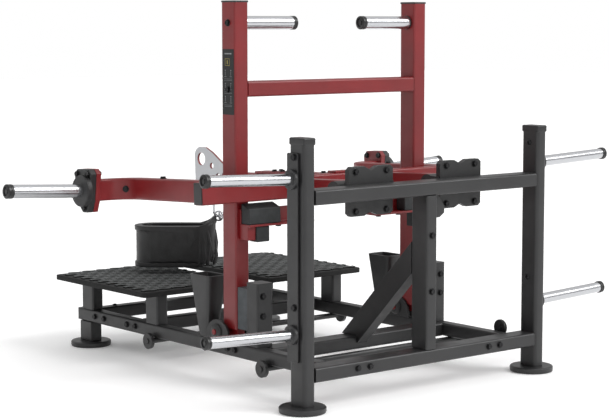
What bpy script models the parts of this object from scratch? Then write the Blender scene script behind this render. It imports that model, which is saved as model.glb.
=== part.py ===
"""Plate-loaded hip belt squat machine, modelled as separate welded and bolted parts.

Metres, +Z up. X is lateral, +Y points from the rear frame towards the foot decks.
Sizes below measure Y from the rear frame; the finished machine is moved so that the
origin is on the floor under the middle of its outer box.
"""

import math

import bmesh
import bpy
from mathutils import Matrix, Vector

# Stock sizes
GAP = 0.0003
TUBE_NARROW = 0.050
TUBE_WIDE = 0.080
TUBE_CORNER = 0.008
HORN_RADIUS = 0.025
PLATE = 0.008

# Frame
REAR_X = 0.550
UPRIGHT_TOP = 0.895
FOOT_RADIUS = 0.080
FOOT_HEIGHT = 0.022
RAIL_X = 0.435
RAIL_BOTTOM = 0.100
RAIL_TOP = 0.150
RAIL_FRONT = 1.540
FRONT_FOOT_Y = 1.487
TOP_BAR_BOTTOM = 0.692
TOP_BAR_TOP = 0.742
MID_BAR_Y = 0.370
BRACE_UPPER = 0.566
BRACE_LOWER = 0.453
STOP_POST_Y = 0.399
STOP_POST_TOP = 0.378
BAND_PEG_Z = 0.0885

# Foot decks
DECK_INNER = 0.055
DECK_OUTER = 0.540
DECK_REAR = 0.950
DECK_FRONT = 1.585
DECK_BOTTOM = 0.265
DECK_TOP = 0.285
DECK_POST_Y = (1.020, 1.472)

# Storage horns on the rear uprights
STORAGE_Y = 0.012
STORAGE_TIP_X = 0.945
STORAGE_RISE = 0.040
STORAGE_Z = (0.262, 0.778)

# Release frame
RELEASE_X = 0.428
RELEASE_WIDE = 0.060
RELEASE_REAR = 0.486
RELEASE_TOP = 1.361
RELEASE_PIVOT = Vector((0.0, 0.575, 0.185))
HANDLE_Z = 1.289
HANDLE_TIP_X = 0.156
HANDLE_RADIUS = 0.025

# Lever arm, drawn level and then tipped about its pivot
ARM_PIVOT = Vector((0.0, 0.100, 0.717))
ARM_TILT = math.radians(-2.6)
ARM_PIVOT_X = 0.210
CROSS_BEAM_Y = 0.452
CROSS_BEAM_END = 0.645
SIDE_BEAM_X = 0.550
HORN_Y = 1.040
HORN_PLATE_X = 0.690
HORN_PLATE_THICK = 0.020
BEND_RADIUS = 0.105
HORN_TIP_X = 1.066
HORN_RISE = 0.018

# Hook, carabiner and belt
HOOK_HOLE = (1.205, 0.722)
CARABINER_PIVOT = Vector((0.0, 1.204, 0.666))
CARABINER_WIDTH = 0.054
CARABINER_HEIGHT = 0.151
CARABINER_WIRE = 0.005
BELT_PIVOT = Vector((0.0, 1.204, 0.530))
BELT_MIDDLE = Vector((-0.130, 1.320, 0.0))
BELT_ALONG = Vector((0.774, -0.633, 0.0))
BELT_ACROSS = Vector((0.633, 0.774, 0.0))

SIDES = (("left", -1), ("right", 1))

# The floor point under the middle of the whole machine, and what turns about which axis
MIDDLE = Vector((0.0, (DECK_FRONT - FOOT_RADIUS) / 2, 0.0))
RELEASE_PARTS = ("release_", "hand_grip_", "support_bracket_", "arm_rest_block_")
ARM_PARTS = ("arm_cross_beam", "pivot_arm_", "side_beam_", "horn_clamp_", "load_horn_",
             "centre_beam", "hook_plate")

COLORS = {
    "black_paint": ((0.045, 0.045, 0.047), 0.45, 0.0),
    "red_paint": ((0.230, 0.026, 0.032), 0.42, 0.0),
    "chrome": ((0.80, 0.81, 0.83), 0.12, 1.0),
    "bare_steel": ((0.55, 0.56, 0.57), 0.38, 1.0),
    "rubber": ((0.030, 0.030, 0.031), 0.75, 0.0),
    "leather": ((0.018, 0.018, 0.019), 0.50, 0.0),
    "cast_black": ((0.035, 0.035, 0.036), 0.55, 0.0),
}


def clear_scene():
    """Remove every object that the file opened with."""
    for old in list(bpy.data.objects):
        bpy.data.objects.remove(old)


def material(name):
    """Return the shared material of one finish, made on first use."""
    found = bpy.data.materials.get(name)
    if found:
        return found
    color, roughness, metallic = COLORS[name]
    made = bpy.data.materials.new(name)
    made.use_nodes = True
    shader = made.node_tree.nodes["Principled BSDF"]
    shader.inputs["Base Color"].default_value = (*color, 1.0)
    shader.inputs["Roughness"].default_value = roughness
    shader.inputs["Metallic"].default_value = metallic
    return made


def add_object(name, bm, finish, smooth=False):
    """Turn a bmesh into a named object with its finish."""
    bmesh.ops.recalc_face_normals(bm, faces=bm.faces)
    mesh = bpy.data.meshes.new(name)
    bm.to_mesh(mesh)
    bm.free()
    mesh.materials.append(material(finish))
    if smooth:
        mesh.shade_smooth()
        mesh.set_sharp_from_angle(angle=math.radians(35))
    made = bpy.data.objects.new(name, mesh)
    bpy.context.scene.collection.objects.link(made)
    return made


def prism(points, low, high, axis):
    """Extrude a closed outline from low to high along axis, its points in the other two axes in order."""
    others = [i for i in range(3) if i != axis]
    bm = bmesh.new()
    rings = []
    for along in (low, high):
        ring = []
        for first, second in points:
            place = [0.0, 0.0, 0.0]
            place[others[0]] = first
            place[others[1]] = second
            place[axis] = along
            ring.append(bm.verts.new(place))
        rings.append(ring)
    count = len(points)
    bm.faces.new(rings[0])
    bm.faces.new(rings[1])
    for i in range(count):
        after = (i + 1) % count
        bm.faces.new((rings[0][i], rings[0][after], rings[1][after], rings[1][i]))
    return bm


def rounded_outline(center, size, radius, steps=3):
    """Give the points of a rectangle whose corners are arcs."""
    points = []
    half = (size[0] / 2 - radius, size[1] / 2 - radius)
    for quarter, (sx, sy) in enumerate(((1, 1), (-1, 1), (-1, -1), (1, -1))):
        for step in range(steps + 1):
            turn = math.radians(90 * quarter + 90 * step / steps)
            points.append((center[0] + sx * half[0] + radius * math.cos(turn),
                           center[1] + sy * half[1] + radius * math.sin(turn)))
    return points


def tube(name, low, high, axis, finish="black_paint", radius=TUBE_CORNER):
    """Make a rectangular tube, taken as solid, between two corners and along an axis."""
    others = [i for i in range(3) if i != axis]
    center = [(low[i] + high[i]) / 2 for i in others]
    size = [high[i] - low[i] for i in others]
    outline = rounded_outline(center, size, radius)
    return add_object(name, prism(outline, low[axis], high[axis], axis), finish, smooth=True)


def cylinder_bm(center, radius, low, high, axis, segments=32):
    """Make a closed cylinder along an axis, its centre given in the other two axes."""
    points = [(center[0] + radius * math.cos(math.tau * i / segments),
               center[1] + radius * math.sin(math.tau * i / segments)) for i in range(segments)]
    return prism(points, low, high, axis)


def lathe_bm(profile, segments=32):
    """Turn a profile of (radius, height) round Z, its first and last points on the axis."""
    bm = bmesh.new()
    first = bm.verts.new((0.0, 0.0, profile[0][1]))
    last = bm.verts.new((0.0, 0.0, profile[-1][1]))
    rings = []
    for radius, height in profile[1:-1]:
        rings.append([bm.verts.new((radius * math.cos(math.tau * i / segments),
                                    radius * math.sin(math.tau * i / segments), height))
                      for i in range(segments)])
    for i in range(segments):
        after = (i + 1) % segments
        bm.faces.new((first, rings[0][after], rings[0][i]))
        bm.faces.new((last, rings[-1][i], rings[-1][after]))
        for lower, upper in zip(rings, rings[1:]):
            bm.faces.new((lower[i], lower[after], upper[after], upper[i]))
    return bm


def swept_bm(path, outline):
    """Sweep an outline of (across, height) along a level path, with closed ends."""
    bm = bmesh.new()
    loops = []
    last = len(path) - 1
    for i, place in enumerate(path):
        along = (path[min(last, i + 1)] - path[max(0, i - 1)]).normalized()
        across = Vector((-along.y, along.x, 0.0))
        loops.append([bm.verts.new(place + across * side + Vector((0.0, 0.0, height)))
                      for side, height in outline])
    count = len(outline)
    for here, there in zip(loops, loops[1:]):
        for k in range(count):
            bm.faces.new((here[k], here[(k + 1) % count], there[(k + 1) % count], there[k]))
    bm.faces.new(loops[0])
    bm.faces.new(loops[-1])
    return bm


def scratch(bm):
    """Hold a bmesh in a hidden object for a Boolean."""
    bmesh.ops.recalc_face_normals(bm, faces=bm.faces)
    mesh = bpy.data.meshes.new("tool")
    bm.to_mesh(mesh)
    bm.free()
    tool = bpy.data.objects.new("tool", mesh)
    tool.hide_render = True
    tool.display_type = "WIRE"
    bpy.context.scene.collection.objects.link(tool)
    return tool


def combine(target, bm, operation):
    """Join or cut the target with another shape."""
    step = target.modifiers.new(operation.lower(), "BOOLEAN")
    step.operation = operation
    step.solver = "EXACT"
    step.object = scratch(bm)


def tip(target):
    """Tip a part of the lever arm about the arm's pivot."""
    turn = Matrix.Translation(ARM_PIVOT) @ Matrix.Rotation(ARM_TILT, 4, "X") @ Matrix.Translation(-ARM_PIVOT)
    target.data.transform(turn)
    for step in target.modifiers:
        if step.type == "BOOLEAN":
            step.object.data.transform(turn)


def box_points(low, high):
    """Give the outline of a plain rectangle."""
    return [(low[0], low[1]), (high[0], low[1]), (high[0], high[1]), (low[0], high[1])]


def build_feet():
    """Four bevelled foot discs; the front ones carry a short stem up to the side rail."""
    for row, foot_x, foot_y in (("rear", REAR_X, 0.0), ("front", RAIL_X, FRONT_FOOT_Y)):
        for side, sign in SIDES:
            rim = FOOT_RADIUS
            profile = [(0.0, 0.0), (rim - 0.003, 0.0), (rim, 0.003), (rim, FOOT_HEIGHT - 0.005),
                       (rim - 0.005, FOOT_HEIGHT), (0.0, FOOT_HEIGHT)]
            bm = lathe_bm(profile, 40)
            bm.transform(Matrix.Translation((sign * foot_x, foot_y, 0.0)))
            disc = add_object(f"{row}_foot_{side}", bm, "rubber", smooth=True)
            if row == "front":
                outline = rounded_outline((sign * foot_x, foot_y), (TUBE_WIDE, TUBE_NARROW), TUBE_CORNER)
                combine(disc, prism(outline, FOOT_HEIGHT - 0.004, RAIL_BOTTOM - GAP, 2), "UNION")


def build_rear_frame():
    """Uprights with domed tops, the two rear bars, the centre post, its gusset and its brace."""
    half_wide = TUBE_WIDE / 2
    inner = REAR_X - TUBE_NARROW / 2 - GAP
    for side, sign in SIDES:
        low = (sign * REAR_X - TUBE_NARROW / 2, -half_wide, FOOT_HEIGHT + GAP)
        high = (sign * REAR_X + TUBE_NARROW / 2, half_wide, UPRIGHT_TOP)
        upright = tube(f"rear_upright_{side}", low, high, 2, radius=0.014)
        dome = rounded_outline((sign * REAR_X, 0.0), (TUBE_NARROW, TUBE_WIDE), 0.014)
        cap = prism(dome, UPRIGHT_TOP - 0.002, UPRIGHT_TOP + 0.014, 2)
        for vert in cap.verts:
            if vert.co.z > UPRIGHT_TOP:
                vert.co.x = sign * REAR_X + (vert.co.x - sign * REAR_X) * 0.72
                vert.co.y *= 0.80
        combine(upright, cap, "UNION")
    tube("rear_top_bar", (-inner, -half_wide, TOP_BAR_BOTTOM), (inner, half_wide, TOP_BAR_TOP), 0)
    tube("rear_bottom_bar", (-inner, -half_wide, RAIL_BOTTOM), (inner, half_wide, RAIL_TOP), 0)
    post = tube("centre_post", (-TUBE_NARROW / 2, -half_wide, RAIL_TOP + GAP),
                (TUBE_NARROW / 2, half_wide, TOP_BAR_BOTTOM - GAP), 2)
    gusset = [(0.0, 0.0), (0.050, 0.0), (0.085, -0.045), (0.085, -0.070), (0.062, -0.085), (0.0, -0.085)]
    outline = [(TUBE_NARROW / 2 - 0.004 + x, TOP_BAR_BOTTOM - GAP + z) for x, z in gusset]
    combine(post, prism(outline, 0.010, 0.010 + PLATE, 1), "UNION")
    front = half_wide + GAP
    bar_rear = MID_BAR_Y - half_wide - GAP
    bar_top = RAIL_TOP + GAP
    brace = [(front, BRACE_UPPER - front), (BRACE_UPPER - bar_top, bar_top), (bar_rear, bar_top),
             (bar_rear, BRACE_LOWER - bar_rear), (front, BRACE_LOWER - front)]
    add_object("centre_brace", prism(brace, -TUBE_NARROW / 2, TUBE_NARROW / 2, 0), "black_paint")


def build_base():
    """Side rails, lateral bars, stop posts, deck posts and band peg rods."""
    inner = RAIL_X - TUBE_NARROW / 2 - GAP
    rail_rear = TUBE_WIDE / 2 + GAP
    for side, sign in SIDES:
        low = (sign * RAIL_X - TUBE_NARROW / 2, rail_rear, RAIL_BOTTOM)
        high = (sign * RAIL_X + TUBE_NARROW / 2, RAIL_FRONT, RAIL_TOP)
        tube(f"side_rail_{side}", low, high, 1)
        post_x = sign * 0.420
        post = tube(f"stop_post_{side}", (post_x - 0.035, STOP_POST_Y - 0.033, RAIL_TOP + GAP),
                    (post_x + 0.035, STOP_POST_Y + 0.033, STOP_POST_TOP), 2)
        pad = box_points((sign * RELEASE_X - 0.024, STOP_POST_Y + 0.030),
                         (sign * RELEASE_X + 0.024, RELEASE_REAR - 0.001))
        combine(post, prism(pad, 0.204, 0.354, 2), "UNION")
        for place, post_y in zip(("rear", "front"), DECK_POST_Y):
            tube(f"deck_post_{place}_{side}", (low[0], post_y - TUBE_WIDE / 2, RAIL_TOP + GAP),
                 (high[0], post_y + TUBE_WIDE / 2, DECK_BOTTOM - GAP), 2)
    for name, bar_y, depth in (("mid_cross_bar", MID_BAR_Y, TUBE_WIDE),
                               ("deck_cross_bar", 1.130, TUBE_NARROW),
                               ("front_cross_bar", 1.487, TUBE_NARROW)):
        tube(name, (-inner, bar_y - depth / 2, RAIL_BOTTOM), (inner, bar_y + depth / 2, RAIL_TOP), 0)
    for name, rod_y in (("band_rod_rear", 0.310), ("band_rod_front", 1.010)):
        rod = add_object(name, cylinder_bm((rod_y, BAND_PEG_Z), 0.011, -0.490, 0.490, 0, 20),
                         "black_paint", smooth=True)
        for sign in (-1, 1):
            ends = sorted((sign * 0.472, sign * 0.486))
            combine(rod, cylinder_bm((rod_y, BAND_PEG_Z), 0.030, ends[0], ends[1], 0, 32), "UNION")


def build_decks():
    """Two foot decks, each a thick plate with rounded corners."""
    for side, sign in SIDES:
        center = (sign * (DECK_INNER + DECK_OUTER) / 2, (DECK_REAR + DECK_FRONT) / 2)
        size = (DECK_OUTER - DECK_INNER, DECK_FRONT - DECK_REAR)
        outline = rounded_outline(center, size, 0.018)
        add_object(f"foot_deck_{side}", prism(outline, DECK_BOTTOM, DECK_TOP, 2), "rubber")


def build_storage():
    """Strip plates bolted outside the rear uprights, each with two plate storage horns."""
    for side, sign in SIDES:
        face = sign * (REAR_X + TUBE_NARROW / 2 + GAP)
        ends = sorted((face, face + sign * PLATE))
        outline = rounded_outline((STORAGE_Y, 0.5175), (0.056, 0.695), 0.006)
        add_object(f"storage_strip_{side}", prism(outline, ends[0], ends[1], 0), "black_paint")
        for level, horn_z in zip(("lower", "upper"), STORAGE_Z):
            start = REAR_X + TUBE_NARROW / 2 + PLATE + 2 * GAP
            length = STORAGE_TIP_X - start
            profile = [(0.0, 0.0), (0.033, 0.0), (0.033, 0.014), (0.0195, 0.018), (0.0195, length - 0.012),
                       (0.0235, length - 0.010), (0.0235, length - 0.003), (0.0205, length), (0.0, length)]
            bm = lathe_bm(profile, 28)
            for vert in bm.verts:
                lift = max(0.0, vert.co.z) * STORAGE_RISE
                vert.co = Vector((sign * (start + vert.co.z), STORAGE_Y + vert.co.y,
                                  horn_z + vert.co.x + lift))
            add_object(f"storage_horn_{level}_{side}", bm, "chrome", smooth=True)


def build_bins():
    """Tapered open-topped cup holders standing on the rails in front of the release frame."""
    for side, sign in SIDES:
        rings = ((RAIL_TOP + GAP, 0.684, 0.066, 0.052), (0.378, 0.684, 0.128, 0.090))
        bm = bmesh.new()
        loops = []
        for height, mid_y, depth, width in rings:
            outline = rounded_outline((sign * RAIL_X, mid_y), (width, depth), 0.018, 2)
            loops.append([bm.verts.new((x, y, height)) for x, y in outline])
        for shrink, height in ((0.008, 0.378), (0.010, 0.170)):
            taper = (height - rings[0][0]) / (rings[1][0] - rings[0][0])
            depth = rings[0][2] + (rings[1][2] - rings[0][2]) * taper - 2 * shrink
            width = rings[0][3] + (rings[1][3] - rings[0][3]) * taper - 2 * shrink
            outline = rounded_outline((sign * RAIL_X, 0.684), (width, depth), 0.011, 2)
            loops.append([bm.verts.new((x, y, height)) for x, y in outline])
        for lower, upper in zip(loops, loops[1:]):
            for i in range(len(lower)):
                after = (i + 1) % len(lower)
                bm.faces.new((lower[i], lower[after], upper[after], upper[i]))
        bm.faces.new(loops[0])
        bm.faces.new(loops[-1])
        add_object(f"cup_holder_{side}", bm, "black_paint")


def build_hinge_brackets():
    """U brackets on the rails, with the pins that the release frame turns on."""
    pivot_y, pivot_z = RELEASE_PIVOT.y, RELEASE_PIVOT.z
    for side, sign in SIDES:
        mid = sign * RAIL_X
        base = box_points((mid - 0.045, 0.500), (mid + 0.045, 0.640))
        bracket = add_object(f"hinge_bracket_{side}",
                             prism(base, RAIL_TOP + GAP, RAIL_TOP + 0.006, 2), "cast_black")
        ear = [(0.502, RAIL_TOP + 0.001), (0.638, RAIL_TOP + 0.001)]
        for step in range(9):
            turn = math.radians(180 * step / 8)
            ear.append((0.570 + 0.066 * math.cos(turn), 0.172 + 0.058 * math.sin(turn)))
        for offset in (-0.041, 0.041):
            combine(bracket, prism(ear, mid + offset - 0.004, mid + offset + 0.004, 0), "UNION")
        combine(bracket, cylinder_bm((pivot_y, pivot_z), 0.008, mid - 0.041, mid + 0.041, 0, 20), "UNION")


def build_arm_pivots():
    """Cast pivot blocks with notched plates, bolted to the front of the rear top bar."""
    plate_z = (TOP_BAR_BOTTOM + TOP_BAR_TOP) / 2
    for side, sign in SIDES:
        mid = sign * (ARM_PIVOT_X + 0.003)
        half, tall, notch = 0.101, 0.085, 0.014
        outline = [(mid - half, plate_z - tall + 0.010), (mid - half + 0.012, plate_z - tall),
                   (mid - 0.030, plate_z - tall), (mid, plate_z - tall + notch),
                   (mid + 0.030, plate_z - tall),
                   (mid + half - 0.012, plate_z - tall), (mid + half, plate_z - tall + 0.010),
                   (mid + half, plate_z + tall - 0.010), (mid + half - 0.012, plate_z + tall),
                   (mid + 0.030, plate_z + tall), (mid, plate_z + tall - notch),
                   (mid - 0.030, plate_z + tall),
                   (mid - half + 0.012, plate_z + tall), (mid - half, plate_z + tall - 0.010)]
        rear = TUBE_WIDE / 2 + GAP
        block = add_object(f"pivot_block_{side}", prism(outline, rear, rear + 0.020, 1), "cast_black")
        spans = ((sign * 0.105, sign * 0.181), (sign * 0.239, sign * 0.332))
        for start, end in spans:
            low, high = sorted((start, end))
            combine(block, cylinder_bm((ARM_PIVOT.y, ARM_PIVOT.z), 0.035, low, high, 0, 28), "UNION")
            web = box_points((rear + 0.004, plate_z - 0.030), (ARM_PIVOT.y, plate_z + 0.030))
            reach = sorted((start, sign * min(abs(end), 0.300)))
            combine(block, prism(web, reach[0], reach[1], 0), "UNION")
        pin = sorted((sign * 0.150, sign * 0.280))
        combine(block, cylinder_bm((ARM_PIVOT.y, ARM_PIVOT.z), 0.012, pin[0], pin[1], 0, 24), "UNION")


def build_release_frame():
    """Red frame with the two hand grips, which swings forward to free the lever arm."""
    rear, front = RELEASE_REAR, RELEASE_REAR + TUBE_WIDE
    pivot_y, pivot_z = RELEASE_PIVOT.y, RELEASE_PIVOT.z
    inner = RELEASE_X - RELEASE_WIDE / 2 - GAP
    for side, sign in SIDES:
        low = (sign * RELEASE_X - RELEASE_WIDE / 2, rear, 0.200)
        high = (sign * RELEASE_X + RELEASE_WIDE / 2, front, RELEASE_TOP)
        upright = tube(f"release_upright_{side}", low, high, 2, "red_paint")
        lug = [(rear + 0.008, 0.215), (rear + 0.012, 0.176), (pivot_y - 0.006, 0.161)]
        for step in range(9):
            turn = math.radians(-90 + 180 * step / 8)
            lug.append((pivot_y + 0.024 * math.cos(turn), pivot_z + 0.024 * math.sin(turn)))
        lug.append((front - 0.010, 0.226))
        mid = sign * RELEASE_X
        combine(upright, prism(lug, mid - 0.016, mid + 0.016, 0), "UNION")
        combine(upright, cylinder_bm((pivot_y, pivot_z), 0.0084, mid - 0.03, mid + 0.03, 0, 20), "DIFFERENCE")
        profile = [(0.0, 0.0), (HANDLE_RADIUS, 0.0), (HANDLE_RADIUS, inner - HANDLE_TIP_X - 0.004),
                   (HANDLE_RADIUS - 0.004, inner - HANDLE_TIP_X), (0.0, inner - HANDLE_TIP_X)]
        bm = lathe_bm(profile, 28)
        for vert in bm.verts:
            vert.co = Vector((sign * (inner - vert.co.z), (rear + front) / 2 + vert.co.y,
                              HANDLE_Z + vert.co.x))
        add_object(f"hand_grip_{side}", bm, "chrome", smooth=True)
    tube("release_crossbar", (-inner, rear, 1.028), (inner, front, 1.083), 0, "red_paint")


def build_arm_supports():
    """Shelf brackets behind the release frame, with the rubber blocks that the lever arm rests on."""
    rear = RELEASE_REAR - GAP
    for side, sign in SIDES:
        shelf_x = sorted((sign * 0.147, sign * 0.443))
        shelf = box_points((shelf_x[0], rear - 0.062), (shelf_x[1], rear))
        bracket = add_object(f"support_bracket_{side}", prism(shelf, 0.572, 0.580, 2), "red_paint")
        back = box_points((shelf_x[0], 0.573), (shelf_x[1], 0.632))
        combine(bracket, prism(back, rear - 0.010, rear, 1), "UNION")
        ear_x = sorted((sign * 0.408, sign * 0.443))
        ear = box_points((ear_x[0], rear - 0.050), (ear_x[1], rear))
        combine(bracket, prism(ear, 0.524, 0.575, 2), "UNION")
        top_front, top_rear = 0.6535, 0.6365
        block = [(rear - 0.0105, top_front), (rear - 0.0105, 0.5803), (rear - 0.060, 0.5803),
                 (rear - 0.057, top_rear)]
        block_x = sorted((sign * 0.300, sign * 0.442))
        add_object(f"arm_rest_block_{side}", prism(block, block_x[0], block_x[1], 0), "rubber")


def build_lever_arm():
    """Lever arm: two pivot arms, a cross beam, side beams with load horns, and the centre beam."""
    tall = TUBE_WIDE / 2
    z_mid = ARM_PIVOT.z
    beam_rear, beam_front = CROSS_BEAM_Y - TUBE_NARROW / 2, CROSS_BEAM_Y + TUBE_NARROW / 2
    beam = tube("arm_cross_beam", (-CROSS_BEAM_END, beam_rear, z_mid - tall),
                (CROSS_BEAM_END, beam_front, z_mid + tall), 0, "red_paint")
    tip(beam)
    for side, sign in SIDES:
        arm = [(beam_rear - GAP, z_mid + 0.030), (beam_rear - GAP, z_mid - 0.030)]
        for step in range(13):
            turn = math.radians(-90 - 180 * step / 12)
            arm.append((ARM_PIVOT.y + 0.030 * math.cos(turn), z_mid + 0.030 * math.sin(turn)))
        mid = sign * ARM_PIVOT_X
        pivot_arm = add_object(f"pivot_arm_{side}", prism(arm, mid - 0.025, mid + 0.025, 0),
                               "red_paint", smooth=True)
        bore = cylinder_bm((ARM_PIVOT.y, z_mid), 0.0125, mid - 0.040, mid + 0.040, 0, 24)
        combine(pivot_arm, bore, "DIFFERENCE")
        tip(pivot_arm)
        side_x = sign * SIDE_BEAM_X
        path = [Vector((side_x, beam_front + GAP, z_mid))]
        for step in range(9):
            turn = math.radians(90 * step / 8)
            path.append(Vector((sign * (SIDE_BEAM_X + BEND_RADIUS * (1 - math.cos(turn))),
                                HORN_Y - BEND_RADIUS * (1 - math.sin(turn)), z_mid)))
        path.append(Vector((sign * (HORN_PLATE_X + 0.001), HORN_Y, z_mid)))
        section = rounded_outline((0.0, 0.0), (TUBE_NARROW, TUBE_WIDE), TUBE_CORNER)
        side_beam = add_object(f"side_beam_{side}", swept_bm(path, section), "red_paint", smooth=True)
        plate_x = sorted((sign * HORN_PLATE_X, sign * (HORN_PLATE_X + HORN_PLATE_THICK)))
        shield = [(-0.012, -0.080), (0.020, -0.080), (0.060, -0.034), (0.066, -0.010), (0.066, 0.062),
                  (0.048, 0.080), (-0.030, 0.080), (-0.046, 0.062), (-0.036, 0.000), (-0.030, -0.040)]
        outline = [(HORN_Y + y, z_mid + z) for y, z in shield]
        combine(side_beam, prism(outline, plate_x[0], plate_x[1], 0), "UNION")
        tip(side_beam)
        clamp_x = sorted((sign * (HORN_PLATE_X + HORN_PLATE_THICK + GAP), sign * (HORN_PLATE_X + 0.046)))
        clamp = add_object(f"horn_clamp_{side}", prism(outline, clamp_x[0], clamp_x[1], 0), "cast_black")
        tip(clamp)
        start = HORN_PLATE_X + 0.0463
        length = HORN_TIP_X - start
        profile = [(0.0, 0.0), (0.058, 0.0), (0.058, 0.018), (0.054, 0.022), (HORN_RADIUS, 0.022),
                   (HORN_RADIUS, length - 0.020), (HORN_RADIUS + 0.001, length - 0.018),
                   (HORN_RADIUS + 0.001, length - 0.004), (HORN_RADIUS - 0.003, length), (0.0, length)]
        bm = lathe_bm(profile, 40)
        for vert in bm.verts:
            lift = HORN_RISE * vert.co.z / length
            vert.co = Vector((sign * (start + vert.co.z), HORN_Y + vert.co.y, z_mid + vert.co.x + lift))
        tip(add_object(f"load_horn_{side}", bm, "chrome", smooth=True))


def build_hook():
    """Centre beam and the slotted hook plate that the carabiner hangs from."""
    z_mid = ARM_PIVOT.z
    beam_front = CROSS_BEAM_Y + TUBE_NARROW / 2 + GAP
    centre = tube("centre_beam", (-0.025, beam_front, z_mid - 0.025),
                  (0.025, 1.150, z_mid + 0.028), 1, "red_paint")
    slot = box_points((-0.0053, z_mid - 0.060), (0.0053, z_mid + 0.060))
    combine(centre, prism(slot, 1.060, 1.200, 1), "DIFFERENCE")
    tip(centre)
    outline = [(1.062, 0.700), (1.062, 0.736), (1.125, 0.748), (1.240, 0.822), (1.285, 0.842)]
    for step in range(7):
        turn = math.radians(75 - 75 * step / 6)
        outline.append((1.318 + 0.042 * math.cos(turn), 0.808 + 0.036 * math.sin(turn)))
    outline += [(1.360, 0.690), (1.335, 0.668), (1.180, 0.656), (1.120, 0.700)]
    plate = add_object("hook_plate", prism(outline, -0.005, 0.005, 0), "bare_steel")
    for hole_y, hole_z, radius in ((1.315, 0.795, 0.026), (1.245, 0.768, 0.012), (*HOOK_HOLE, 0.016)):
        combine(plate, cylinder_bm((hole_y, hole_z), radius, -0.020, 0.020, 0, 24), "DIFFERENCE")
    tip(plate)


def oval_path(center, width, height, count=28):
    """Give the points of an upright oval in the plane Y = center.y."""
    points = []
    for i in range(count):
        turn = math.tau * i / count
        points.append(Vector((center.x + width / 2 * math.sin(turn), center.y,
                              center.z + height / 2 * math.cos(turn))))
    return points


def ring_bm(points, radius, sides=8):
    """Sweep a round section along a closed path of points."""
    bm = bmesh.new()
    loops = []
    count = len(points)
    for i, point in enumerate(points):
        along = (points[(i + 1) % count] - points[i - 1]).normalized()
        outward = Vector((0.0, 1.0, 0.0))
        across = along.cross(outward).normalized()
        loops.append([bm.verts.new(point + outward * radius * math.cos(math.tau * k / sides)
                                   + across * radius * math.sin(math.tau * k / sides)) for k in range(sides)])
    for i in range(count):
        here, there = loops[i], loops[(i + 1) % count]
        for k in range(sides):
            after = (k + 1) % sides
            bm.faces.new((here[k], here[after], there[after], there[k]))
    return bm


def build_belt():
    """Carabiner hanging from the hook plate, and the padded hip belt that clips into it."""
    center = CARABINER_PIVOT - Vector((0.0, 0.0, CARABINER_HEIGHT / 2))
    ring = oval_path(center, CARABINER_WIDTH, CARABINER_HEIGHT)
    add_object("carabiner", ring_bm(ring, CARABINER_WIRE), "chrome", smooth=True)
    bm = bmesh.new()
    near_side = [(0.150, -0.020), (0.138, -0.046), (0.110, -0.060),
                 (0.060, -0.064), (0.0, -0.066), (-0.060, -0.065)]
    loop = list(near_side)
    for i in range(1, 10):
        turn = math.radians(-90 - 18 * i)
        loop.append((-0.090 + 0.063 * math.cos(turn), 0.063 * math.sin(turn)))
    loop += [(along, -across) for along, across in reversed(near_side)]
    stations = [BELT_MIDDLE + BELT_ALONG * along + BELT_ACROSS * across for along, across in loop]
    half, low, high = 0.012, 0.316, 0.480
    last = len(stations) - 1
    loops = []
    for i, place in enumerate(stations):
        before, after = stations[max(0, i - 1)], stations[min(last, i + 1)]
        along = (after - before).normalized()
        across = Vector((-along.y, along.x, 0.0))
        ends = min(i, last - i)
        floor = low + (0.060, 0.020, 0.0)[ends] if ends < 3 else low
        ceiling = high + (0.020, 0.012, 0.004)[ends] if ends < 3 else high
        ring = []
        for side, height in ((-1, floor), (1, floor), (1, ceiling), (-1, ceiling)):
            point = place + across * half * side
            ring.append(bm.verts.new((point.x, point.y, height)))
        loops.append(ring)
    for here, there in zip(loops, loops[1:]):
        for k in range(4):
            bm.faces.new((here[k], here[(k + 1) % 4], there[(k + 1) % 4], there[k]))
    bm.faces.new(loops[0])
    bm.faces.new(loops[-1])
    add_object("hip_belt", bm, "leather")


def add_axis(name, place, parent=None):
    """Add an empty on a joint's axis."""
    axis = bpy.data.objects.new(name, None)
    bpy.context.scene.collection.objects.link(axis)
    axis.location = place
    if parent:
        axis.parent = parent
    return axis


def hang_parts():
    """Parent each part to the empty that it turns with, and put the origin under the machine's middle."""
    parts = [item for item in bpy.data.objects if item.type == "MESH"]
    machine = add_axis("machine", -MIDDLE)
    release = add_axis("release_axis", RELEASE_PIVOT, machine)
    arm = add_axis("arm_axis", ARM_PIVOT, machine)
    link = add_axis("carabiner_axis", CARABINER_PIVOT - ARM_PIVOT, arm)
    strap = add_axis("belt_axis", BELT_PIVOT - CARABINER_PIVOT, link)
    places = {release: RELEASE_PIVOT, arm: ARM_PIVOT, link: CARABINER_PIVOT, strap: BELT_PIVOT}
    for part in parts:
        holder = machine
        if part.name.startswith(RELEASE_PARTS):
            holder = release
        elif part.name.startswith(ARM_PARTS):
            holder = arm
        elif part.name == "carabiner":
            holder = link
        elif part.name == "hip_belt":
            holder = strap
        part.parent = holder
        part.location = -places.get(holder, Vector())


def main():
    """Build the whole machine."""
    clear_scene()
    build_feet()
    build_rear_frame()
    build_base()
    build_decks()
    build_storage()
    build_bins()
    build_hinge_brackets()
    build_arm_pivots()
    build_release_frame()
    build_arm_supports()
    build_lever_arm()
    build_hook()
    build_belt()
    hang_parts()


main()
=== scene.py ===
"""Hip belt squat machine: finishes, fixings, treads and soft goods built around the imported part."""

import math

import bpy
from mathutils import Matrix, Vector


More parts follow.
